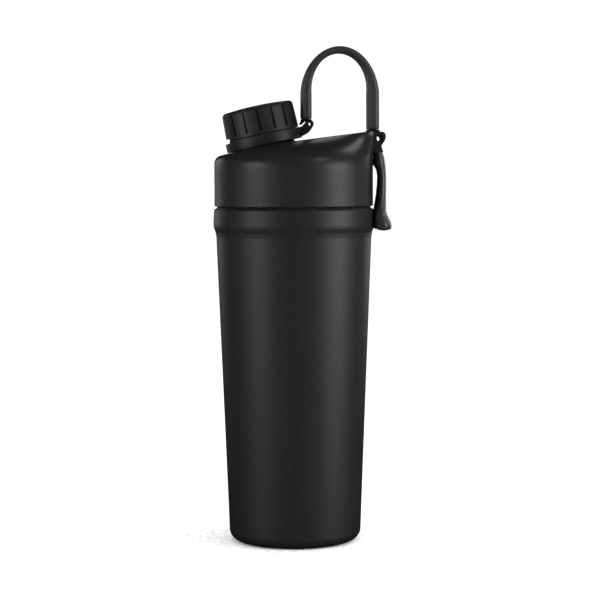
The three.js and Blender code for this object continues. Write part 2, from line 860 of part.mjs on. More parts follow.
function rearClip() {
  const outer = [
    [48.9, 219],
    [49.4, 217.4],
    [50.2, 215.2],
    [51.1, 211.1],
    [51.5, 206],
    [51.8, 199],
    [51.7, 191.5],
    [51.6, 185],
    [52, 182.7],
    [53.1, 180.8],
    [54.2, 178.9],
    [54.7, 177],
    [54.5, 175.2],
    [53.6, 173.9],
    [52.3, 173.4],
  ];
  const inner = [
    [46.9, 174.1],
    [41.6, 175.1],
    [41.6, 182.5],
    [44.3, 185.8],
    [45.3, 188.5],
    [46.2, 194],
    [46.7, 199],
    [46.9, 204],
    [46.6, 207],
    [45.8, 209.2],
    [44.3, 210.2],
    [44.3, 219],
  ];
  const { lug, lugInner, lugOuter, armHalfWidth, footHalfWidth, hollowRadius } = CLIP;
  const { archTop, webRadius, webTopRadius } = CLIP;
  const { x: pinX, z: pinZ, radius: pinRadius } = REAR_PIN;
  const side = sidePlate([...outer, ...inner], -footHalfWidth, footHalfWidth);
  const half = [
    [lugOuter, pinZ + 1],
    [lugOuter, 206],
    [armHalfWidth, 200],
    [armHalfWidth, 194],
    [armHalfWidth + 1.4, 187.5],
    [footHalfWidth - 0.6, 181],
    [footHalfWidth, 178],
    [footHalfWidth - 1, 172],
  ];
  const mirrored = half.map(([y, z]) => [-y, z]).reverse();
  const front = sidePlate([...half, ...mirrored], 0, 30).rotateZ(Math.PI / 2).translate(65, 0, 0);
  const shank = [
    [44.9, 223],
    [45.3, 218],
    [49, 218],
    [48.6, 220.6],
    [49.8, 222.8],
  ];
  const lidSide = turned([
    [0, 200],
    [webRadius, 200],
    [webRadius, archTop],
    [webTopRadius, 220],
    [0, 220],
  ]);
  const lugGap = box(30, 70, -lugInner, lugInner, pinZ - CLIP.lugCutDepth, pinZ + 15);
  return geometryOf(
    solidOf(side)
      .intersect(solidOf(front))
      .subtract(solidOf(cylinderZ(hollowRadius, 160, 192)))
      .subtract(solidOf(lidSide))
      .add(solidOf(cylinderY(lug, lugOuter, pinX, pinZ)))
      .add(solidOf(sidePlate(shank, -lugOuter, lugOuter)))
      .subtract(solidOf(lugGap))
      .subtract(solidOf(cylinderY(pinRadius + CLEARANCE, CUTTER_REACH, pinX, pinZ))),
  );
}

// ---- Assembly -------------------------------------------------------------------------------

const bottle = new THREE.Group();

bottle.add(
  piece('outer_shell', outerShell(), POWDER_COAT),
  piece('base_plate', basePlate(), POWDER_COAT),
  piece('inner_liner', innerLiner(), BARE_STEEL),
  piece('mixing_grid', mixingGrid(), CAP_PLASTIC),
);

const lid = new THREE.Group();
const rearPin = piece('rear_pin', hollowPin(REAR_PIN), PIN_STEEL);
rearPin.position.set(REAR_PIN.x, 0, REAR_PIN.z);
lid.add(
  piece('lid_gasket', lidGasket(), SILICONE),
  piece('lid_insert', lidInsert(), CAP_PLASTIC),
  piece('lid_shell', lidShell(), LID_PLASTIC),
  piece('carry_strap', carryStrap(), STRAP_RUBBER),
  piece('rear_tongue', rearTongue(), LID_PLASTIC),
  piece('front_tongue', frontTongue(), LID_PLASTIC),
  piece('rear_clip', rearClip(), LID_PLASTIC),
  rearPin,
);

const spout = new THREE.Group();
spout.position.set(SPOUT.x, 0, SPOUT.z);
spout.rotation.y = -SPOUT.tilt;
const frontPin = piece('front_pin', hollowPin(FRONT_PIN), PIN_STEEL);
frontPin.position.set(FRONT_PIN.x, 0, FRONT_PIN.z);
spout.add(
  piece('tether_collar', collar(), CAP_PLASTIC),
  piece('cap_shell', capShell(), CAP_PLASTIC),
  piece('cap_liner', capLiner(), SILICONE),
  frontPin,
);

lid.add(spout);
bottle.add(lid);

export default bottle;
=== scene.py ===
# Insulated steel shaker bottle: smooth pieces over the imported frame, materials, light and camera.
# Shapes are written in millimetres and scaled to metres when a mesh is made.
import math

import bmesh
import bpy
from mathutils import Matrix, Vector


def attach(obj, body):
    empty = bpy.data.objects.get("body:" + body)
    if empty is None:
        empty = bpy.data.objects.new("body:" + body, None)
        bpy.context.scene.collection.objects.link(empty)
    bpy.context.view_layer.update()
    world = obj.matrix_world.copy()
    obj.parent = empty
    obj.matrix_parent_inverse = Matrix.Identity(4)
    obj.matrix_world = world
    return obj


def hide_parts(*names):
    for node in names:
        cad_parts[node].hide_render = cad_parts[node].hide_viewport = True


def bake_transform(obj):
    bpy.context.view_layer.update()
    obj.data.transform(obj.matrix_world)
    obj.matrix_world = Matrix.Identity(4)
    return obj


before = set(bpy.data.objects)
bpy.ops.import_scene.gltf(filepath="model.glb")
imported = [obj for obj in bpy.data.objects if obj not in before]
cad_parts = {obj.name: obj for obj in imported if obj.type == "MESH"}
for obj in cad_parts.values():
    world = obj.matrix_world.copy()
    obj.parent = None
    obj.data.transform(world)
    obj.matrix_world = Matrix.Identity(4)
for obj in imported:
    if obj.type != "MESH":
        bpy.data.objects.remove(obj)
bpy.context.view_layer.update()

MM = 0.001
TILT = math.radians(11.9)  # lean of the spout
SPOUT = Vector((-15.95, 0.0, 221.45))  # centre of the spout's seat on the deck
SEAM = 186.2  # height of the seam between bottle and lid
REAR_PIN = (47.3, 224.9)  # x and z in the bottle's frame
FRONT_PIN = (26.81, 6.29)  # x and z in the spout's own frame
THROUGH = 20  # half-length of a round cutter that passes right through
STEPS_PER_TURN = 72
MERGE_DISTANCE = 0.004
SLIVER_LENGTH = 0.002
NEARLY_STRAIGHT = 0.01  # radians off straight under which a corner isn't rounded
SIDE_SHARE = 0.49  # most of a side that one rounded corner may take


# ---- Mesh helpers ---------------------------------------------------------------------------


def smoothstep(low, high, value):
    share = min(1.0, max(0.0, (value - low) / (high - low)))
    return share * share * (3 - 2 * share)


def power(value, exponent):
    """value raised to exponent, keeping its sign."""
    return math.copysign(abs(value) ** exponent, value)


def fillet(points, radii, steps=6):
    """Open outline with each inner corner rounded by its own radius."""
    out = [points[0]]
    for before, corner, after, radius in zip(points, points[1:], points[2:], radii):
        a = Vector(before) - Vector(corner)
        b = Vector(after) - Vector(corner)
        half = a.angle(b) / 2
        if radius <= 0 or half > math.pi / 2 - NEARLY_STRAIGHT:
            out.append(corner)
            continue
        reach = min(radius / math.tan(half), a.length * SIDE_SHARE, b.length * SIDE_SHARE)
        start = Vector(corner) + a.normalized() * reach
        end = Vector(corner) + b.normalized() * reach
        for i in range(steps + 1):
            t = i / steps
            point = start.lerp(Vector(corner), t).lerp(Vector(corner).lerp(end, t), t)
            out.append((point.x, point.y))
    out.append(points[-1])
    return out


def split(a, b, count):
    """Points from a towards b in equal steps, without b itself."""
    return [tuple(p + (q - p) * i / count for p, q in zip(a, b)) for i in range(count)]


def densify(points, longest):
    """Outline with extra points so that no side is longer than longest."""
    out = []
    for a, b in zip(points, points[1:]):
        out += split(a, b, max(1, math.ceil(math.dist(a, b) / longest)))
    return out + [points[-1]]


def grid_faces(columns, rows, wrap_columns=True, wrap_rows=False):
    """Four-sided faces over a grid of points that is stored column by column."""
    faces = []
    for c in range(columns if wrap_columns else columns - 1):
        d = (c + 1) % columns
        for r in range(rows if wrap_rows else rows - 1):
            s = (r + 1) % rows
            faces.append((c * rows + r, d * rows + r, d * rows + s, c * rows + s))
    return faces


def tidy(bm):
    """Merges repeated points, drops empty faces and faces everything outwards."""
    bmesh.ops.remove_doubles(bm, verts=bm.verts, dist=MERGE_DISTANCE)
    bmesh.ops.dissolve_degenerate(bm, edges=bm.edges, dist=SLIVER_LENGTH)
    bmesh.ops.recalc_face_normals(bm, faces=bm.faces)


def shell(points, faces):
    """Shape from points and faces; a face that shrinks to a line is left out."""
    bm = bmesh.new()
    verts = [bm.verts.new(p) for p in points]
    for face in faces:
        corners = []
        for i in face:
            if verts[i] not in corners:
                corners.append(verts[i])
        if len(corners) > 2:
            bm.faces.new(corners)
    tidy(bm)
    return bm


def lathe(profile, segments=160, closed=False):
    """Turned body about Z; a closed profile makes a ring."""
    points = []
    for c in range(segments):
        angle = 2 * math.pi * c / segments
        points += [(r * math.cos(angle), r * math.sin(angle), z) for r, z in profile]
    return shell(points, grid_faces(segments, len(profile), wrap_rows=closed))


def loft(points, rings, around):
    """Closed skin through rings of points, with a flat face on each end."""
    faces = grid_faces(rings, around, wrap_columns=False, wrap_rows=True)
    faces.append(tuple(range(around)))
    faces.append(tuple((rings - 1) * around + k for k in range(around)))
    return shell(points, faces)


def plate(outline, y0, y1, edge=0.0, steps=3):
    """Side outline in XZ made solid between y0 and y1, with its two outer edges rounded."""
    bm = bmesh.new()
    face = bm.faces.new([bm.verts.new((x, y0, z)) for x, z in outline])
    made = bmesh.ops.extrude_face_region(bm, geom=[face])
    far = [v for v in made["geom"] if isinstance(v, bmesh.types.BMVert)]
    bmesh.ops.translate(bm, verts=far, vec=(0, y1 - y0, 0))
    bmesh.ops.recalc_face_normals(bm, faces=bm.faces)
    if edge > 0:
        rims = [e for e in bm.edges if abs(e.verts[0].co.y - e.verts[1].co.y) < 1e-6]
        bmesh.ops.bevel(
            bm, geom=rims, offset=edge, segments=steps, profile=0.5, affect="EDGES",
            clamp_overlap=True,
        )
    tidy(bm)
    return bm


def cylinder_y(radius, y0, y1, x, z, steps=40):
    """Solid cylinder along Y."""
    outline = []
    for i in range(steps):
        angle = 2 * math.pi * i / steps
        outline.append((x + radius * math.cos(angle), z + radius * math.sin(angle)))
    return plate(outline, y0, y1)


def block(x0, x1, y0, y1, z0, z1):
    return plate([(x0, z0), (x1, z0), (x1, z1), (x0, z1)], y0, y1)


def at_spout(bm):
    """From the spout's own frame, where +Z runs up the spout, to the bottle's."""
    turn = Matrix.Rotation(-TILT, 4, "Y")
    bmesh.ops.transform(bm, matrix=Matrix.Translation(SPOUT) @ turn, verts=bm.verts)
    return bm


def spout_point(x, z):
    """Side-view point from the spout's own frame in the bottle's."""
    return (
        SPOUT.x + x * math.cos(TILT) - z * math.sin(TILT),
        SPOUT.z + x * math.sin(TILT) + z * math.cos(TILT),
    )


def helix(wall, outward, pitch, depth, root, crest, start, turns):
    """Right-handed thread ridge that fades out at both ends."""
    sunk, fade_turns, least = 0.3, 0.12, 0.05
    section = [(-sunk, -root / 2), (0, -root / 2)]
    section += [(depth * 0.8, -crest / 2 - 0.1), (depth, -crest / 2 + 0.15)]
    section += [(r, -z) for r, z in reversed(section)]
    steps = round(STEPS_PER_TURN * turns)
    points = []
    for i in range(steps + 1):
        turn = turns * i / steps
        fade = min(1, least + turn / fade_turns, least + (turns - turn) / fade_turns)
        angle = 2 * math.pi * turn
        for out, up in section:
            radius = wall + outward * (out * fade if out > 0 else out)
            height = start + pitch * turn + up
            points.append((radius * math.cos(angle), radius * math.sin(angle), height))
    return loft(points, steps + 1, len(section))


def as_mesh(bm):
    mesh = bpy.data.meshes.new("shape")
    bm.to_mesh(mesh)
    bm.free()
    return mesh


def joined(*parts):
    """Several closed shapes in one mesh."""
    bm = bmesh.new()
    for part in parts:
        mesh = as_mesh(part)
        bm.from_mesh(mesh)
        bpy.data.meshes.remove(mesh)
    return bm


def carved(bm, cutters, mode="DIFFERENCE"):
    """bm less every cutter, or joined to each, as an exact solid operation."""
    body = bpy.data.objects.new("body", as_mesh(bm))
    bpy.context.scene.collection.objects.link(body)
    tools = []
    for cutter in cutters:
        tool = bpy.data.objects.new("tool", as_mesh(cutter))
        bpy.context.scene.collection.objects.link(tool)
        tools.append(tool)
        modifier = body.modifiers.new("carve", "BOOLEAN")
        modifier.operation = mode
        modifier.solver = "EXACT"
        modifier.object = tool
    graph = bpy.context.evaluated_depsgraph_get()
    out = bmesh.new()
    out.from_mesh(body.evaluated_get(graph).data)
    for thing in [body, *tools]:
        mesh = thing.data
        bpy.data.objects.remove(thing)
        bpy.data.meshes.remove(mesh)
    return out


def piece(name, bm, material, body, nodes=(), sharp=32.0):
    """Finished piece in metres, riding on its body in place of its CAD nodes."""
    bmesh.ops.scale(bm, vec=(MM, MM, MM), verts=bm.verts)
    mesh = as_mesh(bm)
    mesh.name = name
    mesh.materials.append(material)
    mesh.shade_smooth()
    mesh.set_sharp_from_angle(angle=math.radians(sharp))
    obj = bpy.data.objects.new(name, mesh)
    bpy.context.scene.collection.objects.link(obj)
    if body:
        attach(obj, body)
    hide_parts(*nodes)
    return obj


# ---- Materials ------------------------------------------------------------------------------


MOTTLE_SCALE = 28.0
SHEEN_ROUGHNESS = 0.4
SPECKLE_SHARE = 0.7  # how much of the fine grain also shows as tone
SPECKLE_NOISE = (0.3, 0.7)  # span of the noise that is spread over the tones
SPECKLE_TONES = (0.6, 1.4)


def procedural(name, base, roughness, *, metallic=0.0, grain=900.0, bump=0.1, depth=0.00008,
               mottle=0.12, spread=0.05, specular=0.5, sheen=0.0, stretch=(1, 1, 1), ramp=None):
    """Moulded or coated surface: fine grain, and broad mottling of colour and gloss.
    ramp = (low, high, factor) eases the roughness to factor times itself between two heights."""
    material = bpy.data.materials.new(name)
    material.use_nodes = True
    tree = material.node_tree
    nodes, links = tree.nodes, tree.links
    shader = nodes["Principled BSDF"]
    shader.inputs["Metallic"].default_value = metallic
    shader.inputs["Specular IOR Level"].default_value = specular
    shader.inputs["Sheen Weight"].default_value = sheen
    shader.inputs["Sheen Roughness"].default_value = SHEEN_ROUGHNESS
    place = nodes.new("ShaderNodeTexCoord")
    mapping = nodes.new("ShaderNodeMapping")
    mapping.inputs["Scale"].default_value = stretch
    links.new(place.outputs["Object"], mapping.inputs["Vector"])

    def noise(scale, detail, roughness_of):
        node = nodes.new("ShaderNodeTexNoise")
        node.inputs["Scale"].default_value = scale
        node.inputs["Detail"].default_value = detail
        node.inputs["Roughness"].default_value = roughness_of
        links.new(mapping.outputs["Vector"], node.inputs["Vector"])
        return node.outputs["Fac"]

    def remap(value, source, target):
        node = nodes.new("ShaderNodeMapRange")
        node.inputs["From Min"].default_value, node.inputs["From Max"].default_value = source
        node.inputs["To Min"].default_value, node.inputs["To Max"].default_value = target
        links.new(value, node.inputs["Value"])
        return node

    fine = noise(grain, 3.0, 0.6)
    broad = noise(MOTTLE_SCALE, 4.0, 0.55)
    colour = nodes.new("ShaderNodeMix")
    colour.data_type = "RGBA"
    colour.inputs[6].default_value = [c * (1 - mottle) for c in base] + [1]
    colour.inputs[7].default_value = [min(1, c * (1 + mottle)) for c in base] + [1]
    links.new(broad, colour.inputs["Factor"])
    speckle = nodes.new("ShaderNodeMix")
    speckle.data_type = "RGBA"
    speckle.blend_type = "MULTIPLY"
    speckle.inputs["Factor"].default_value = SPECKLE_SHARE
    links.new(colour.outputs[2], speckle.inputs[6])
    tone = remap(fine, SPECKLE_NOISE, SPECKLE_TONES)
    links.new(tone.outputs["Result"], speckle.inputs[7])
    links.new(speckle.outputs[2], shader.inputs["Base Color"])
    result = remap(broad, (0, 1), (roughness - spread, roughness + spread)).outputs["Result"]
    if ramp:
        low, high, factor = ramp
        axes = nodes.new("ShaderNodeSeparateXYZ")
        links.new(place.outputs["Object"], axes.inputs["Vector"])
        rise = remap(axes.outputs["Z"], (low * MM, high * MM), (1.0, factor))
        rise.interpolation_type = "SMOOTHSTEP"
        scaled = nodes.new("ShaderNodeMath")
        scaled.operation = "MULTIPLY"
        links.new(result, scaled.inputs[0])
        links.new(rise.outputs["Result"], scaled.inputs[1])
        result = scaled.outputs["Value"]
    links.new(result, shader.inputs["Roughness"])
    relief = nodes.new("ShaderNodeBump")
    relief.inputs["Strength"].default_value = bump
    relief.inputs["Distance"].default_value = depth
    links.new(fine, relief.inputs["Height"])
    links.new(relief.outputs["Normal"], shader.inputs["Normal"])
    return material


POWDER = procedural(
    "powder_coat", (0.0073, 0.0073, 0.0076), 0.46, grain=1000, bump=0.45, depth=0.0001, mottle=0.10,
    spread=0.04, specular=0.2,
)
LID = procedural(
    "lid_plastic", (0.0075, 0.0075, 0.0078), 0.46, grain=1000, bump=0.6, depth=0.0001, mottle=0.10,
    specular=0.2, ramp=(206.0, 216.0, 0.65),
)
CAP = procedural(
    "cap_plastic", (0.0075, 0.0075, 0.0078), 0.45, grain=1600, bump=0.25, depth=0.00005,
    mottle=0.14, specular=0.18,
)
CLIP = procedural(
    "clip_plastic", (0.013, 0.013, 0.0135), 0.38, grain=1200, bump=0.08, depth=0.00004,
    specular=0.32,
)
GRID = procedural("grid_plastic", (0.030, 0.030, 0.031), 0.5, bump=0.15)
RUBBER = procedural(
    "strap_rubber", (0.015, 0.015, 0.0155), 0.46, grain=2200, bump=0.22, depth=0.00004, sheen=0.03,
    specular=0.24,
)
SILICONE = procedural("silicone", (0.16, 0.165, 0.17), 0.55, grain=700, bump=0.08, sheen=0.1)
STEEL = procedural(
    "bare_steel", (0.45, 0.45, 0.44), 0.28, metallic=1.0, grain=500, bump=0.12, mottle=0.06,
    stretch=(1, 1, 14),
)
PIN_STEEL = procedural(
    "pin_steel", (0.10, 0.10, 0.105), 0.34, metallic=1.0, grain=900, bump=0.1, stretch=(1, 0.2, 1),
)


# ---- Body -----------------------------------------------------------------------------------

LIP_TOP = SEAM + 1.32  # top of the shell's inner lip, under the liner's flange
WALL = 0.6  # thickness of the sheet steel
LID_PITCH = 5
LINER_RADIUS = 39.4
FLANGE_RADIUS = 40.7


def arc(centre_r, centre_z, radius, start, end, steps):
    """Part of a circle in a profile, between two angles in degrees."""
    points = []
    for i in range(steps + 1):
        angle = math.radians(start + (end - start) * i / steps)
        points.append((centre_r + radius * math.cos(angle), centre_z + radius * math.sin(angle)))
    return points


def body_shell():
    """Foot ring, rounded base corner, straight taper, shoulder groove, rim band and inner lip."""
    foot, corner = 31, 6
    outside = [(foot, 0)] + arc(foot, corner, corner, -90, 0, 14) + fillet(
        [(foot + corner, corner), (43.4, 170.6), (43.8, 173.0), (44.75, 175.7), (45, 177.3),
         (44.6, 185.3)],
        [3, 1.6, 2.4, 2.4],
    )[1:]
    outside += arc(43.7, 185.3, 0.9, 8, 90, 7)
    outside += [(43.45, SEAM), (42.6, LIP_TOP), (40.4, LIP_TOP)]
    inside = [(40.4, LIP_TOP - WALL), (42.2, LIP_TOP - WALL), (42.8, SEAM - WALL)]
    inside += [(43.5, SEAM - WALL), (44, 185), (44.4, 177.3), (42.8, 172), (36.4, corner)]
    inside += [(34.2, 1.9), (foot, WALL)]
    return lathe(densify(outside, 9) + inside, 224, closed=True)


def base_disc():
    """Bottom plate with a shallow ring groove, thinner towards its rim."""
    return lathe(
        fillet(
            [(0, 0), (21, 0), (21.6, 0.5), (24.4, 0.5), (25, 0), (30.9, 0), (30.9, 0.6),
             (25.6, 1.3), (0, 1.3)],
            [0.4, 0.3, 0.3, 0.4, 0.1, 0.2, 0.3],
        ),
        160,
    )


def liner():
    """Steel cup with a rounded bottom, a flange over the lip, and the threaded neck."""
    flange = LIP_TOP + 0.05
    rim = SEAM + 13
    inside = [(0, 8)] + arc(27, 14, 6, -90, 0, 8) + [(38.7, 168), (38.7, rim - 0.4), (39, rim)]
    outside = [(39.1, rim), (LINER_RADIUS, rim - 0.4), (LINER_RADIUS, flange + WALL)]
    outside += [(FLANGE_RADIUS, flange + WALL), (FLANGE_RADIUS, flange), (LINER_RADIUS, flange)]
    outside += [(LINER_RADIUS, 168)] + arc(27, 14, 6 + WALL, 0, -90, 8)
    ridge = helix(LINER_RADIUS, 1, LID_PITCH, 1.2, 2, 1, SEAM + 3.4, 1.4)
    return joined(lathe(densify(inside + outside + [(0, 7.4)], 14), 160), ridge)


piece("body_shell", body_shell(), POWDER, "bottle", ["outer_shell"])
piece("body_base", base_disc(), POWDER, "bottle", ["base_plate"])
piece("body_liner", liner(), STEEL, "bottle", ["inner_liner"])


# ---- Lid ------------------------------------------------------------------------------------

LID_BOTTOM = SEAM + 1.4
LID_RADIUS = 44.3
LID_WALL = 2.4
CEILING = SEAM + 16.6
SHOULDER = 209  # height where the skirt turns into the dome, on the axis
SHOULDER_SLOPE = 0.045
DOME_POWER = 0.9
DECK_CENTRE = -15.5
DECK_RADIUS = 23
DECK_END = 46.8
DECK_CORNER = 3
HORN_HALF_WIDTH = 10.5
SLOT_HALF_WIDTH = 8.4
EAR_OUTER = 10.6
NECK_BORE = 13.2
NECK_RADIUS = 15.2
CAP_PITCH = 3.5


def soft_least(values, softness):
    """Smallest of the values, with the change from one to the next rounded off."""
    total = sum(math.exp(-(v - min(values)) / softness) for v in values)
    return min(values) - softness * math.log(total)


def deck_height(x):
    """Spout seat, long slope and flat horn top, eased into one another."""
    seat = SPOUT.z - 0.55 + math.tan(TILT) * (x - SPOUT.x)
    return soft_least([seat, 223.46 + 0.129 * x, 228.75], 0.12)


def deck_half_width(x, inset):
    """Deck outline: a round end about the spout, drawn in to the horn."""
    radius = DECK_RADIUS - inset
    end = DECK_END - inset * 4
    if x <= DECK_CENTRE - radius or x >= end:
        return 0.0
    if x < DECK_CENTRE:
        return math.sqrt(radius**2 - (x - DECK_CENTRE) ** 2)
    share = ((x - DECK_CENTRE) / (end - DECK_CENTRE)) ** 2
    straight = radius + (HORN_HALF_WIDTH - inset - radius) * share
    past = max(0.0, x - (end - DECK_CORNER))
    return straight - DECK_CORNER + math.sqrt(max(0.0, DECK_CORNER**2 - past**2))


def deck_reach(angle, inset):
    """Distance from the axis to the deck's outline in one direction, by halving."""
    near, far = 0.0, 70.0
    for _ in range(40):
        middle = (near + far) / 2
        if abs(middle * math.sin(angle)) < deck_half_width(middle * math.cos(angle), inset):
            near = middle
        else:
            far = middle
    return near


def dome_rows(angle, radius, inset, drop, lowered, rows):
    """Points from the shoulder line up to the deck's edge in one direction."""
    along = math.cos(angle)
    reach = deck_reach(angle, inset)
    foot = SHOULDER - SHOULDER_SLOPE * radius * along - lowered
    edge = deck_height(reach * along) - drop
    points = []
    for i in range(rows + 1):
        share = (i / rows) * math.pi / 2
        level = radius + (reach - radius) * (1 - math.cos(share) ** DOME_POWER)
        points.append((level, foot + (edge - foot) * math.sin(share) ** DOME_POWER))
    return points


def lid_body():
    """Skirt, dome and deck as one closed skin, outside and inside."""
    columns = 288
    crowding = 0.35  # brings the columns closer together towards the horn
    points = []
    for c in range(columns):
        turn = 2 * math.pi * c / columns
        angle = turn - crowding * math.sin(turn)
        outer = dome_rows(angle, LID_RADIUS, 0, 0, 0, 26)
        inner = dome_rows(angle, LID_RADIUS - LID_WALL, LID_WALL, LID_WALL, 1, 8)
        start = outer[0][1]
        profile = [(LID_RADIUS, start - (start - LID_BOTTOM - 0.3) * i / 8) for i in range(1, 9)]
        profile += [(LID_RADIUS - 0.3, LID_BOTTOM), (42.3, LID_BOTTOM), (42.3, CEILING + 1.7)]
        profile += [(41.9, CEILING + 1.75)] + inner
        top = [outer[-1][0] * share for share in (0.0, 0.25, 0.5, 0.7, 0.85, 0.94)]
        under = [inner[-1][0] * share for share in (0.8, 0.5, 0.0)]
        column = [(r, deck_height(r * math.cos(angle))) for r in top]
        column += outer[::-1] + profile
        column += [(r, deck_height(r * math.cos(angle)) - LID_WALL) for r in under]
        points += [(r * math.cos(angle), r * math.sin(angle), z) for r, z in column]
        rows = len(column)
    return shell(points, grid_faces(columns, rows))


def ear(side):
    """One of the horn's two ears, with its gusset, beside the slot."""
    outline = fillet(
        [(41, 228.65), (49.6, 228.65), (50.7, 227.4), (50.9, 225.4), (50.1, 223.4), (48.6, 221.8),
         (48.2, 220.9), (48.75, 219.3), (49.6, 217.3), (41, 216.9)],
        [1.6, 1.6, 1.6, 2, 2, 1.5, 2, 0.5],
        5,
    )
    y0, y1 = sorted((side * SLOT_HALF_WIDTH, side * EAR_OUTER))
    return plate(outline, y0, y1, 0.5)


def lid_shell():
    """Lid body with its ears, slot and pin hole, and the threaded spout neck."""
    neck = lathe(
        fillet(
            [(NECK_BORE, -4), (17.2, -4), (17.2, -0.9), (15.6, 0.6), (NECK_RADIUS, 1.6),
             (NECK_RADIUS, 18), (NECK_BORE, 18), (NECK_BORE, -4.0)],
            [0, 0, 1, 1, 0, 0.7, 0.7], 4,
        ),
        128,
    )
    thread = helix(NECK_RADIUS, 1, CAP_PITCH, 1.2, 1.5, 0.7, 11.5, 1.1)
    bore = at_spout(lathe([(0, -14), (NECK_BORE, -14), (NECK_BORE, 20), (0, 20)], 128))
    slot = block(40.2, 60, -SLOT_HALF_WIDTH, SLOT_HALF_WIDTH, 219.4, 240)
    pin_hole = cylinder_y(2.05, -THROUGH, THROUGH, *REAR_PIN)
    solid = carved(lid_body(), [ear(1), ear(-1)], "UNION")
    solid = carved(solid, [bore, slot, pin_hole])
    return joined(solid, at_spout(neck), at_spout(thread))


def hollow_pin(radius, bore, half_length, x, z):
    """Hollow pin along Y with broken edges; the slit of a rolled pin is left out."""
    profile = fillet(
        [(bore, 0), (bore, -half_length), (radius, -half_length), (radius, half_length),
         (bore, half_length), (bore, 0)],
        [0.15, 0.25, 0.25, 0.15], 3,
    )
    pin = lathe(densify(profile, 4), 48)
    bmesh.ops.rotate(pin, verts=pin.verts, matrix=Matrix.Rotation(math.pi / 2, 3, "X"))
    bmesh.ops.translate(pin, verts=pin.verts, vec=(x, 0, z))
    return pin


piece("lid_shell_smooth", lid_shell(), LID, "lid", ["lid_shell"])
piece("rear_pin_rolled", hollow_pin(2.0, 1.6, 10.4, *REAR_PIN), PIN_STEEL, "lid",
      ["rear_pin"])


# ---- Carry strap and its tongues ------------------------------------------------------------

STRAP_FRONT = (7.07, 236.1)  # x and z of the foot of each leg
STRAP_REAR = (44.3, 230.2)
SPRING = 250.35  # height where the legs turn into the bend
RISE = 23.9
BEND_LENGTH = 62


def strap_at(share):
    """Centre, outward direction, swell and rear share of the strap at a share of its length."""
    middle = (STRAP_FRONT[0] + STRAP_REAR[0]) / 2
    half_span = (STRAP_REAR[0] - STRAP_FRONT[0]) / 2
    front_leg = SPRING - STRAP_FRONT[1]
    rear_leg = SPRING - STRAP_REAR[1]
    distance = share * (front_leg + BEND_LENGTH + rear_leg)
    if distance <= front_leg:
        return STRAP_FRONT[0], STRAP_FRONT[1] + distance, (-1, 0), 0, 0
    if distance >= front_leg + BEND_LENGTH:
        return STRAP_REAR[0], SPRING - (distance - front_leg - BEND_LENGTH), (1, 0), 0, 1
    turn = (distance - front_leg) / BEND_LENGTH * math.pi
    out = Vector((-RISE * math.cos(turn), half_span * math.sin(turn))).normalized()
    x = middle - half_span * math.cos(turn)
    return x, SPRING + RISE * math.sin(turn), tuple(out), math.sin(turn), turn / math.pi


def strap():
    """Flexible band: rounded legs that widen and thin out over the top."""
    stations, around = 150, 40
    thin, squareness = 3.8, 0.62
    points = []
    for i in range(stations + 1):
        share = i / stations
        x, z, out, swell, rear = strap_at(share)
        leg = 6.2 + 0.8 * rear
        half = (thin + (leg - thin) * (1 - swell) ** 1.3) / 2
        wide = 8 + 2.5 * swell
        end = min(share, 1 - share) * 110
        pinch = 1 - 0.07 * (1 - smoothstep(0, 1.0, end))
        for k in range(around):
            angle = 2 * math.pi * (k + 0.5) / around
            t = power(math.cos(angle), squareness) * half * pinch
            w = power(math.sin(angle), squareness) * wide * pinch
            points.append((x + out[0] * t, w, z + out[1] * t))
    return loft(points, stations + 1, around)


def tongue(outline, half_width, edge, boss, hole, pin, x, top):
    """Stiff strap end: a plate with a boss round its pin, and a stem up into the strap."""
    solid = plate(outline, -half_width, half_width, edge)
    solid = carved(solid, [cylinder_y(boss, -half_width, half_width, *pin)], "UNION")
    reach = 9
    solid = carved(solid, [cylinder_y(hole, -reach, reach, *pin)])
    return joined(solid, block(x - 1.5, x + 1.5, -2.4, 2.4, top - 1, top + 7))


def front_tongue():
    x, top = STRAP_FRONT[0], STRAP_FRONT[1] - 0.3
    pin = spout_point(*FRONT_PIN)
    outline = fillet(
        [(x, top), (x - 2.9, top), (x - 3, top - 0.9), (x - 3.5, top - 1.8), spout_point(21.3, 7.6),
         spout_point(21.4, 6.9), spout_point(22.4, 7.0), spout_point(23.7, 7.8),
         spout_point(24.7, 8.3), (pin[0] - 1, pin[1] - 0.5), (pin[0] + 2, pin[1] + 0.5),
         (x + 2.9, top), (x, top)],
        [0.3, 0.5, 1, 0.3, 0.3, 1, 1, 0.3, 0, 0, 0.3],
        3,
    )[:-1]
    return tongue(outline, 2.9, 0.3, 2.2, 1.5, pin, x, top)


def rear_tongue():
    x, top = STRAP_REAR[0], STRAP_REAR[1] - 0.3
    px, pz = REAR_PIN
    outline = fillet(
        [(x, top), (x - 3.4, top), (x - 3.4, top - 1), (px - 2.8, pz - 1.9),
         (px + 2.9, pz + 1.7), (x + 3.5, top - 1), (x + 3.5, top), (x, top)],
        [0.3, 1, 0, 0, 1, 0.3],
        3,
    )[:-1]
    return tongue(outline, 5.3, 0.4, 3.4, 2.3, REAR_PIN, x, top)


carry = piece("carry_strap_band", strap(), RUBBER, None, ["carry_strap"])
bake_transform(carry)
piece("strap_tongue_front", front_tongue(), LID, "collar", ["front_tongue"])
piece("strap_tongue_rear", rear_tongue(), LID, "lid", ["rear_tongue"])


# ---- Spout cap and its collar, in the spout's own frame --------------------------------------


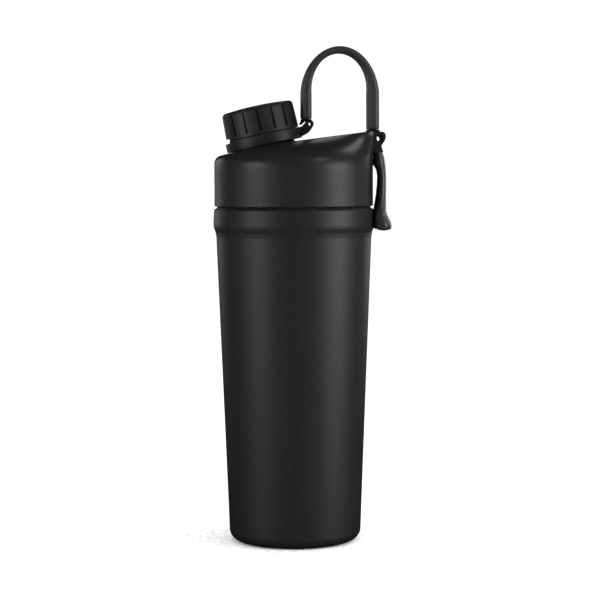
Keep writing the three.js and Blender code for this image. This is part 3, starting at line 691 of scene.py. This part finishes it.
CAP_BORE = 16.8
GROOVES = 16
GROOVE_FIRST = -2.5  # degrees to the middle of the first groove
GROOVE_HALF = 0.85
GROOVE_FLOOR = 19.1
GROOVE_END = 8.85  # height of the centre of a groove's round lower end
CAP_RADIUS = 20.2  # turns a distance round the cap into an angle
RIB = 9.0  # stands for any distance that is clear of the grooves
ACROSS_GROOVE = (-0.85, -0.72, -0.6, -0.48, -0.36, -0.2, 0, 0.2, 0.36, 0.48, 0.6, 0.72, 0.85)
ACROSS_RIB = (1.3, 2.2, 3.1, 3.97, 4.8, 5.7, 6.6)


def front_notch(low, high):
    """Cutter for the thumb notch on the side away from the fork."""
    return block(-30, -18.6, -10, 10, low, high)


def tether_collar():
    """Snap ring with a thumb notch in front and a forked arm to the front pin."""
    ring = lathe(
        fillet(
            [(18.7, 3), (18.7, 0), (21.3, 0), (21.45, 6), (18.7, 6), (18.7, 3.9), (19.6, 3.6),
             (19.6, 1.9), (18.7, 1.6), (18.7, 3)],
            [0.2, 0.5, 0.35, 0.2, 0, 0.2, 0.2, 0], 4,
        )[:-1],
        160, closed=True,
    )
    outline = fillet(
        [(20.2, 0.45), (22.4, 0.85), (24.2, 1.4), (25.7, 2.2), (27.6, 3.9), (28.9, 5.5),
         (29.0, 7.2), (27.6, 8.5), (25.9, 8.3), (24.4, 7.5), (22.9, 6.3), (21.2, 5.75),
         (20.2, 5.75)],
        [3, 3, 3, 2, 1.6, 1.6, 1.6, 1.5, 3, 2, 1],
        4,
    )
    arm = plate(outline, -6.2, 6.2, 0.55)
    core = lathe([(0, -4), (20.3, -4), (20.3, 20), (0, 20)], 128)
    arm = carved(arm, [core, block(23.3, 40, -3.2, 3.2, -10, 20)])
    arm = carved(arm, [cylinder_y(1.25, -THROUGH, THROUGH, *FRONT_PIN)])
    return at_spout(joined(carved(ring, [front_notch(4.9, 20)]), arm))


def cap_shell():
    """Ribbed screw cap: draughted wall with round-ended grooves and a slightly domed top."""
    outer = fillet(
        [(19.9, 6.3), (20.5, 6.3), (20, 20.4), (18.6, 21.6), (10, 22.35), (0, 22.5)],
        [0.3, 2.2, 2.6, 6], 8,
    )
    inside = [(0, 20.1), (CAP_BORE, 20.1), (CAP_BORE, 1.3), (18.4, 1.3), (18.4, 2), (19.2, 2.4),
              (19.2, 3.2), (18.4, 3.6), (18.4, 6.3)]
    wall = densify(outer, 1.2)
    fine = []
    for a, b in zip(wall, wall[1:]):
        by_groove_end = min(a[1], b[1]) < 10.4 and max(a[1], b[1]) > 7.4 and a[0] > 19
        fine += split(a, b, 5 if by_groove_end else 1)
    fine.append(wall[-1])
    columns = []
    for groove in range(GROOVES):
        middle = math.radians(360 / GROOVES * groove + GROOVE_FIRST)
        columns += [(middle + s / CAP_RADIUS, s) for s in ACROSS_GROOVE]
        columns += [(middle + s / CAP_RADIUS, RIB) for s in ACROSS_RIB]
    points = []
    for angle, s in columns:
        for r, z in fine:
            away = abs(s) if z > GROOVE_END else math.hypot(s, z - GROOVE_END)
            share = 1 - smoothstep(GROOVE_HALF * 0.5, GROOVE_HALF, away)
            level = r - share * max(0.0, r - GROOVE_FLOOR)
            points.append((level * math.cos(angle), level * math.sin(angle), z))
        for r, z in inside:
            points.append((r * math.cos(angle), r * math.sin(angle), z))
    body = shell(points, grid_faces(len(columns), len(fine) + len(inside), wrap_rows=True))
    body = carved(body, [front_notch(4, 7.5)])
    thread = helix(CAP_BORE, -1, CAP_PITCH, 1, 1.5, 0.7, 9.75, 1.1)
    return at_spout(joined(body, thread))


piece("collar_ring", tether_collar(), CAP, "collar", ["tether_collar"])
piece("cap_ribbed", cap_shell(), CAP, "cap", ["cap_shell"])
front = hollow_pin(1.2, 0.85, 6.2, *spout_point(*FRONT_PIN))
piece("front_pin_rolled", front, PIN_STEEL, "collar", ["front_pin"])


# ---- Rear clip ------------------------------------------------------------------------------

# Rows of (height, value): outer and inner x of the clip's side outline, and its half width.
CLIP_OUTER = [(173.4, 52.6), (174.2, 53.8), (175.3, 54.55), (176.9, 54.8), (178.7, 54.3),
              (180.8, 53.2), (182.7, 52.2), (185, 51.7), (191.5, 51.7), (199, 51.8), (206, 51.75),
              (211.1, 51.3), (215.2, 50.55), (217.4, 49.7), (219.4, 49.0), (221, 48.7)]
CLIP_INNER = [(173.4, 41.6), (182.5, 41.6), (185.8, 44.3), (188.5, 45.3), (194, 46.2), (199, 46.7),
              (204, 46.9), (207, 46.5), (208.8, 45.8), (210.2, 44.5), (221, 44.5)]
CLIP_WIDTH = [(173.4, 14.4), (177.8, 15.0), (181, 14.2), (184, 11.6), (187.5, 9.8), (192, 8.8),
              (198, 8.6), (206, 8.1), (221, 8.1)]
CLIP_FOOT = 173.4
CLIP_TOP = 220.4
LUG_HALF_WIDTH = 8.1
LUG_THICKNESS = 2.5
LUG_RADIUS = 3.4


def between(table, key):
    """Value at a key, on straight lines between the rows of a (key, value) table."""
    if key <= table[0][0]:
        return table[0][1]
    for (a, p), (b, q) in zip(table, table[1:]):
        if key <= b:
            return p + (q - p) * (key - a) / (b - a)
    return table[-1][1]


def softened(table, key, spread):
    """Mean of five readings about the key, which rounds off the table's corners."""
    return sum(between(table, key + spread * k) for k in (-1, -0.5, 0, 0.5, 1)) / 5


def rear_clip():
    """Hanging clip: crowned arm that flares into a saddle round the rim band."""
    rows, around = 110, 64
    points = []
    for i in range(rows + 1):
        height = CLIP_FOOT + (CLIP_TOP - CLIP_FOOT) * i / rows
        closing = min(1.0, 0.35 + 0.65 * math.sqrt(min(1, (height - CLIP_FOOT) / 1.4)))
        outer = softened(CLIP_OUTER, height, 0.5)
        inner = softened(CLIP_INNER, height, 0.7)
        width = softened(CLIP_WIDTH, height, 1.6)
        flare = 1 - smoothstep(182, 188, height)
        wrap = 45.45 if height < 192 else 44.7 + 0.05 * max(0, height - 211)
        crown = 0.8 - 0.3 * flare
        for k in range(around):
            angle = 2 * math.pi * k / around
            thick = power(math.cos(angle), crown) * closing
            wide = power(math.sin(angle), crown) * (1 - 0.06 * (1 - closing))
            y = wide * width
            saddle = math.sqrt(wrap**2 - y * y) if height < 192 or height > 209 else 0
            front = max(inner, saddle)
            back = outer - (0.55 + 1.6 * flare) * wide * wide
            x = front + (thick + 1) / 2 * (back - front)
            drop = 0.155 * (52 - x) * (1 - smoothstep(176, 183, height))
            points.append((x, y, height + drop))
    arm = loft(points, rows + 1, around)
    lug = [(45.1, 219.4), (48.6, 219.4), (48.65, 220.8), (49.7, 222.6)]
    for degrees in range(-40, 221, 12):
        angle = math.radians(degrees)
        lug.append((REAR_PIN[0] + LUG_RADIUS * math.cos(angle),
                    REAR_PIN[1] + LUG_RADIUS * math.sin(angle)))
    lugs = []
    for y in (-LUG_HALF_WIDTH, LUG_HALF_WIDTH - LUG_THICKNESS):
        hole = cylinder_y(2.3, -THROUGH, THROUGH, *REAR_PIN)
        lugs.append(carved(plate(lug, y, y + LUG_THICKNESS, 0.35), [hole]))
    web = [(45.3, 218.0), (49.1, 218.0), (48.7, 220.9), (45.3, 220.9)]
    web = plate(web, -LUG_HALF_WIDTH, LUG_HALF_WIDTH, 0.3)
    return joined(*lugs, arm, web)


piece("clip_hanging", rear_clip(), CLIP, "clip", ["rear_clip"], sharp=50)


# ---- Hidden pieces keep their CAD form -------------------------------------------------------

for node, material, slot in (
    ("mixing_grid", GRID, "grid_plastic"),
    ("lid_gasket", SILICONE, "silicone"),
    ("lid_insert", CAP, "cap_plastic"),
    ("cap_liner", SILICONE, "silicone"),
):
    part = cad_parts[node]
    part.data.materials.clear()
    part.data.materials.append(material)


# ---- Floor, light and camera ----------------------------------------------------------------


def backdrop():
    """Pale round floor, wide enough to run out of sight in every view."""
    bm = bmesh.new()
    bmesh.ops.create_circle(bm, cap_ends=True, radius=14.0, segments=96)
    bmesh.ops.translate(bm, verts=bm.verts, vec=(0, 0, -0.0002))
    mesh = as_mesh(bm)
    obj = bpy.data.objects.new("studio_floor", mesh)
    bpy.context.scene.collection.objects.link(obj)
    obj.visible_glossy = False  # only the softboxes show in the gloss
    mesh.materials.append(
        procedural("studio_paper", (0.95, 0.95, 0.95), 0.9, grain=400, bump=0.0, mottle=0.004,
                   specular=0.0)
    )


def soft_light(name, azimuth, distance, height, width, tall, watts, aim):
    """Area light at an azimuth from the camera's side, positive to the right, aimed at the
    bottle's axis at the height aim."""
    data = bpy.data.lights.new(name, "AREA")
    data.shape = "RECTANGLE"
    data.size = width
    data.size_y = tall
    data.energy = watts
    light = bpy.data.objects.new(name, data)
    angle = math.radians(azimuth)
    light.location = (distance * math.sin(angle), -distance * math.cos(angle), height)
    light.visible_camera = False
    toward = Vector((0, 0, aim)) - Vector(light.location)
    light.rotation_euler = toward.to_track_quat("-Z", "Y").to_euler()
    bpy.context.scene.collection.objects.link(light)


def place_camera():
    """Long lens, a little off square and slightly rolled, as in the picture."""
    distance, height, yaw, roll = 1030.05, 205.64, math.radians(2.222), math.radians(-0.235)
    target = Vector((3.28, 0, 134.85))
    data = bpy.data.cameras.new("camera")
    data.sensor_width = 36
    data.lens = 110.35
    camera = bpy.data.objects.new("camera", data)
    eye = Vector((-distance * math.sin(yaw), -distance * math.cos(yaw), height)) * MM
    forward = (target * MM - eye).normalized()
    right = forward.cross(Vector((0, 0, 1))).normalized()
    up = right.cross(forward)
    across = right * math.cos(roll) + up * math.sin(roll)
    upward = up * math.cos(roll) - right * math.sin(roll)
    turn = Matrix((across, upward, -forward)).transposed().to_4x4()
    camera.matrix_world = Matrix.Translation(eye) @ turn
    bpy.context.scene.collection.objects.link(camera)
    bpy.context.scene.camera = camera


backdrop()
for light_row in (
    # name, azimuth, distance, height, width, tall, watts, aim
    ("soft_left", -56, 0.95, 0.20, 0.46, 0.40, 5.0, 0.12),
    ("soft_right", 64, 0.95, 0.20, 0.46, 0.40, 8.2, 0.12),
    ("soft_back_left", -142, 1.1, 0.30, 0.40, 0.50, 1.0, 0.12),
    ("soft_back_right", 142, 1.1, 0.30, 0.40, 0.50, 1.3, 0.12),
    ("soft_top", 180, 1.1, 0.95, 0.7, 0.4, 1.0, 0.12),
    ("soft_accent", 41, 0.95, 0.80, 0.18, 0.14, 1.5, 0.21),
    ("soft_side", 107, 0.78, 0.84, 0.30, 0.30, 1.5, 0.22),
):
    soft_light(*light_row)

world = bpy.data.worlds.new("studio")
world.use_nodes = True
background = world.node_tree.nodes["Background"]
background.inputs["Color"].default_value = (1.0, 1.0, 1.0, 1)
background.inputs["Strength"].default_value = 1.12
bpy.context.scene.world = world
world.cycles_visibility.glossy = False
bpy.context.scene.view_settings.view_transform = "Standard"

place_camera()
